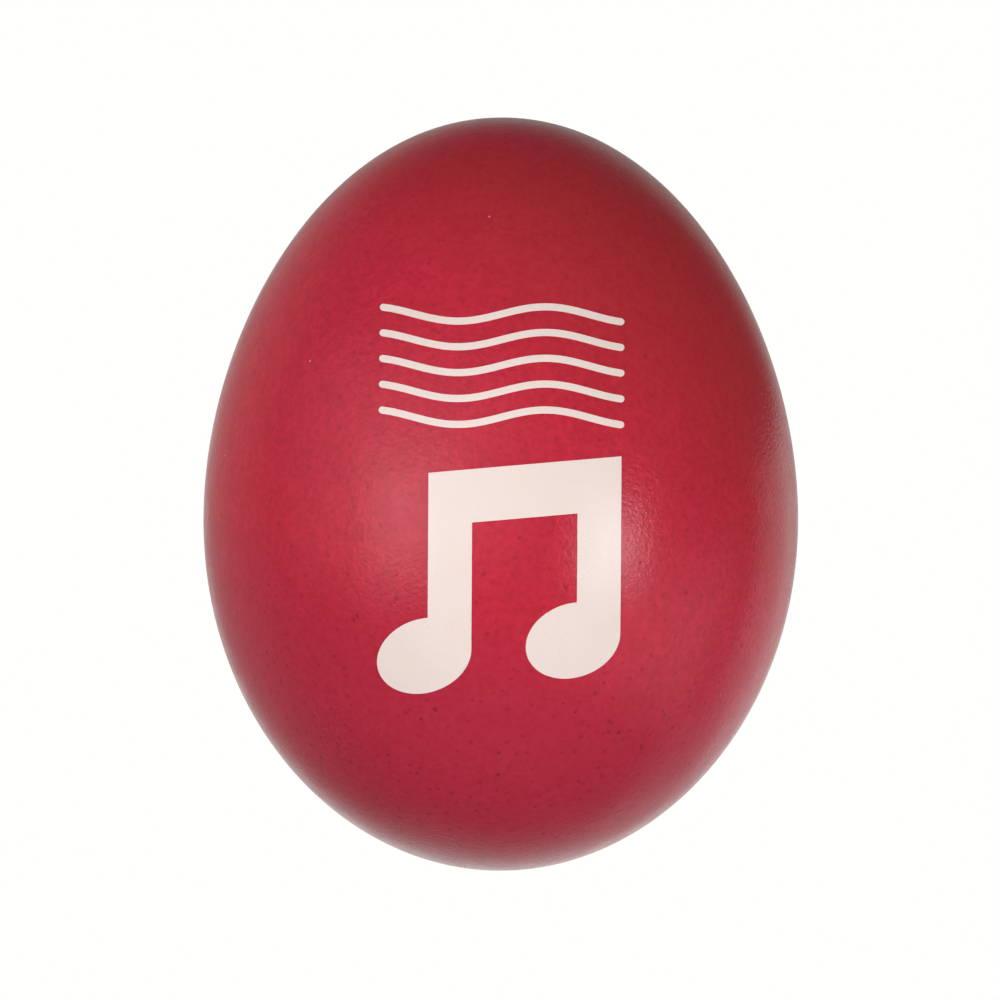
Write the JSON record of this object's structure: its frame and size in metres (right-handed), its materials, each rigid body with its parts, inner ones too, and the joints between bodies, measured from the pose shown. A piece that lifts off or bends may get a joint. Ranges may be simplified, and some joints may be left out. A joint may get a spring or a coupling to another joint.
{
  "type": "egg shaker",
  "caption": "Hand-held egg-shaped shaker: a hollow plastic egg cemented along a lengthwise seam, with loose steel shot sealed inside and a printed music motif.",
  "frame": {"origin": "centre of the girth, the egg's widest circle, where the hand holds it", "axes": "+Z along the egg's long axis to its pointed end, -Y out of the front with the printed motif, +X to the right of the motif"},
  "size_m": [0.045, 0.045, 0.057],
  "materials": {
    "shell_paint": "satin crimson paint over moulded plastic, with a fine pebbled grain and pinpoint pores",
    "cement": "dried solvent cement, amber, inside the seam",
    "shot_steel": "plain rolled steel shot",
    "print_ink": "cream pad-printed ink with slightly soft edges"
  },
  "bodies": {
    "shell": {"front_shell": "shell_paint", "rear_shell": "shell_paint", "seam_cement": "cement"},
    "shot_stack_01": {"shot_01": "shot_steel", "shot_02": "shot_steel"},
    "shot_stack_02": {"shot_03": "shot_steel", "shot_04": "shot_steel"},
    "shot_stack_03": {"shot_05": "shot_steel", "shot_06": "shot_steel"},
    "shot_stack_04": {"shot_07": "shot_steel", "shot_08": "shot_steel"},
    "shot_stack_05": {"shot_09": "shot_steel", "shot_10": "shot_steel"},
    "shot_stack_06": {"shot_11": "shot_steel", "shot_12": "shot_steel"},
    "shot_stack_07": {"shot_13": "shot_steel", "shot_14": "shot_steel"},
    "shot_stack_08": {"shot_15": "shot_steel", "shot_16": "shot_steel"},
    "shot_stack_09": {"shot_17": "shot_steel", "shot_18": "shot_steel"},
    "shot_stack_10": {"shot_19": "shot_steel", "shot_20": "shot_steel"},
    "shot_stack_11": {"shot_21": "shot_steel", "shot_22": "shot_steel"},
    "shot_stack_12": {"shot_23": "shot_steel", "shot_24": "shot_steel"},
    "shot_stack_13": {"shot_25": "shot_steel", "shot_26": "shot_steel"},
    "shot_stack_14": {"shot_27": "shot_steel", "shot_28": "shot_steel"},
    "shot_stack_15": {"shot_29": "shot_steel", "shot_30": "shot_steel"},
    "shot_stack_16": {"shot_31": "shot_steel", "shot_32": "shot_steel"},
    "shot_stack_17": {"shot_33": "shot_steel", "shot_34": "shot_steel"},
    "shot_stack_18": {"shot_35": "shot_steel", "shot_36": "shot_steel"},
    "shot_stack_19": {"shot_37": "shot_steel", "shot_38": "shot_steel"},
    "shot_stack_20": {"shot_39": "shot_steel"},
    "shot_stack_21": {"shot_40": "shot_steel"},
    "shot_stack_22": {"shot_41": "shot_steel"},
    "shot_stack_23": {"shot_42": "shot_steel"},
    "shot_stack_24": {"shot_43": "shot_steel"},
    "shot_stack_25": {"shot_44": "shot_steel"},
    "shot_stack_26": {"shot_45": "shot_steel"},
    "shot_stack_27": {"shot_46": "shot_steel"},
    "shot_stack_28": {"shot_47": "shot_steel"},
    "shot_stack_29": {"shot_48": "shot_steel"},
    "shot_stack_30": {"shot_49": "shot_steel"},
    "shot_stack_31": {"shot_50": "shot_steel"},
    "shot_stack_32": {"shot_51": "shot_steel"},
    "shot_stack_33": {"shot_52": "shot_steel"},
    "shot_stack_34": {"shot_53": "shot_steel"},
    "shot_stack_35": {"shot_54": "shot_steel"},
    "shot_stack_36": {"shot_55": "shot_steel"},
    "shot_stack_37": {"shot_56": "shot_steel"}
  },
  "joints": [
    {"name": "shot_stack_01_travel", "type": "slide", "parent": "shell", "child": "shot_stack_01", "axis": [0, 0, 1], "range_m": [0, 0.0456]},
    {"name": "shot_stack_02_travel", "type": "slide", "parent": "shell", "child": "shot_stack_02", "axis": [0, 0, 1], "range_m": [0, 0.0445]},
    {"name": "shot_stack_03_travel", "type": "slide", "parent": "shell", "child": "shot_stack_03", "axis": [0, 0, 1], "range_m": [0, 0.0445]},
    {"name": "shot_stack_04_travel", "type": "slide", "parent": "shell", "child": "shot_stack_04", "axis": [0, 0, 1], "range_m": [0, 0.0445]},
    {"name": "shot_stack_05_travel", "type": "slide", "parent": "shell", "child": "shot_stack_05", "axis": [0, 0, 1], "range_m": [0, 0.0445]},
    {"name": "shot_stack_06_travel", "type": "slide", "parent": "shell", "child": "shot_stack_06", "axis": [0, 0, 1], "range_m": [0, 0.0445]},
    {"name": "shot_stack_07_travel", "type": "slide", "parent": "shell", "child": "shot_stack_07", "axis": [0, 0, 1], "range_m": [0, 0.0445]},
    {"name": "shot_stack_08_travel", "type": "slide", "parent": "shell", "child": "shot_stack_08", "axis": [0, 0, 1], "range_m": [0, 0.0423]},
    {"name": "shot_stack_09_travel", "type": "slide", "parent": "shell", "child": "shot_stack_09", "axis": [0, 0, 1], "range_m": [0, 0.0412]},
    {"name": "shot_stack_10_travel", "type": "slide", "parent": "shell", "child": "shot_stack_10", "axis": [0, 0, 1], "range_m": [0, 0.0423]},
    {"name": "shot_stack_11_travel", "type": "slide", "parent": "shell", "child": "shot_stack_11", "axis": [0, 0, 1], "range_m": [0, 0.0412]},
    {"name": "shot_stack_12_travel", "type": "slide", "parent": "shell", "child": "shot_stack_12", "axis": [0, 0, 1], "range_m": [0, 0.0423]},
    {"name": "shot_stack_13_travel", "type": "slide", "parent": "shell", "child": "shot_stack_13", "axis": [0, 0, 1], "range_m": [0, 0.0412]},
    {"name": "shot_stack_14_travel", "type": "slide", "parent": "shell", "child": "shot_stack_14", "axis": [0, 0, 1], "range_m": [0, 0.0423]},
    {"name": "shot_stack_15_travel", "type": "slide", "parent": "shell", "child": "shot_stack_15", "axis": [0, 0, 1], "range_m": [0, 0.0412]},
    {"name": "shot_stack_16_travel", "type": "slide", "parent": "shell", "child": "shot_stack_16", "axis": [0, 0, 1], "range_m": [0, 0.0423]},
    {"name": "shot_stack_17_travel", "type": "slide", "parent": "shell", "child": "shot_stack_17", "axis": [0, 0, 1], "range_m": [0, 0.0412]},
    {"name": "shot_stack_18_travel", "type": "slide", "parent": "shell", "child": "shot_stack_18", "axis": [0, 0, 1], "range_m": [0, 0.0423]},
    {"name": "shot_stack_19_travel", "type": "slide", "parent": "shell", "child": "shot_stack_19", "axis": [0, 0, 1], "range_m": [0, 0.0412]},
    {"name": "shot_stack_20_travel", "type": "slide", "parent": "shell", "child": "shot_stack_20", "axis": [0, 0, 1], "range_m": [0, 0.0411]},
    {"name": "shot_stack_21_travel", "type": "slide", "parent": "shell", "child": "shot_stack_21", "axis": [0, 0, 1], "range_m": [0, 0.0411]},
    {"name": "shot_stack_22_travel", "type": "slide", "parent": "shell", "child": "shot_stack_22", "axis": [0, 0, 1], "range_m": [0, 0.0385]},
    {"name": "shot_stack_23_travel", "type": "slide", "parent": "shell", "child": "shot_stack_23", "axis": [0, 0, 1], "range_m": [0, 0.0411]},
    {"name": "shot_stack_24_travel", "type": "slide", "parent": "shell", "child": "shot_stack_24", "axis": [0, 0, 1], "range_m": [0, 0.0411]},
    {"name": "shot_stack_25_travel", "type": "slide", "parent": "shell", "child": "shot_stack_25", "axis": [0, 0, 1], "range_m": [0, 0.0385]},
    {"name": "shot_stack_26_travel", "type": "slide", "parent": "shell", "child": "shot_stack_26", "axis": [0, 0, 1], "range_m": [0, 0.0411]},
    {"name": "shot_stack_27_travel", "type": "slide", "parent": "shell", "child": "shot_stack_27", "axis": [0, 0, 1], "range_m": [0, 0.0411]},
    {"name": "shot_stack_28_travel", "type": "slide", "parent": "shell", "child": "shot_stack_28", "axis": [0, 0, 1], "range_m": [0, 0.0385]},
    {"name": "shot_stack_29_travel", "type": "slide", "parent": "shell", "child": "shot_stack_29", "axis": [0, 0, 1], "range_m": [0, 0.0411]},
    {"name": "shot_stack_30_travel", "type": "slide", "parent": "shell", "child": "shot_stack_30", "axis": [0, 0, 1], "range_m": [0, 0.0411]},
    {"name": "shot_stack_31_travel", "type": "slide", "parent": "shell", "child": "shot_stack_31", "axis": [0, 0, 1], "range_m": [0, 0.0385]},
    {"name": "shot_stack_32_travel", "type": "slide", "parent": "shell", "child": "shot_stack_32", "axis": [0, 0, 1], "range_m": [0, 0.0411]},
    {"name": "shot_stack_33_travel", "type": "slide", "parent": "shell", "child": "shot_stack_33", "axis": [0, 0, 1], "range_m": [0, 0.0411]},
    {"name": "shot_stack_34_travel", "type": "slide", "parent": "shell", "child": "shot_stack_34", "axis": [0, 0, 1], "range_m": [0, 0.0385]},
    {"name": "shot_stack_35_travel", "type": "slide", "parent": "shell", "child": "shot_stack_35", "axis": [0, 0, 1], "range_m": [0, 0.0411]},
    {"name": "shot_stack_36_travel", "type": "slide", "parent": "shell", "child": "shot_stack_36", "axis": [0, 0, 1], "range_m": [0, 0.0411]},
    {"name": "shot_stack_37_travel", "type": "slide", "parent": "shell", "child": "shot_stack_37", "axis": [0, 0, 1], "range_m": [0, 0.0385]}
  ]
}
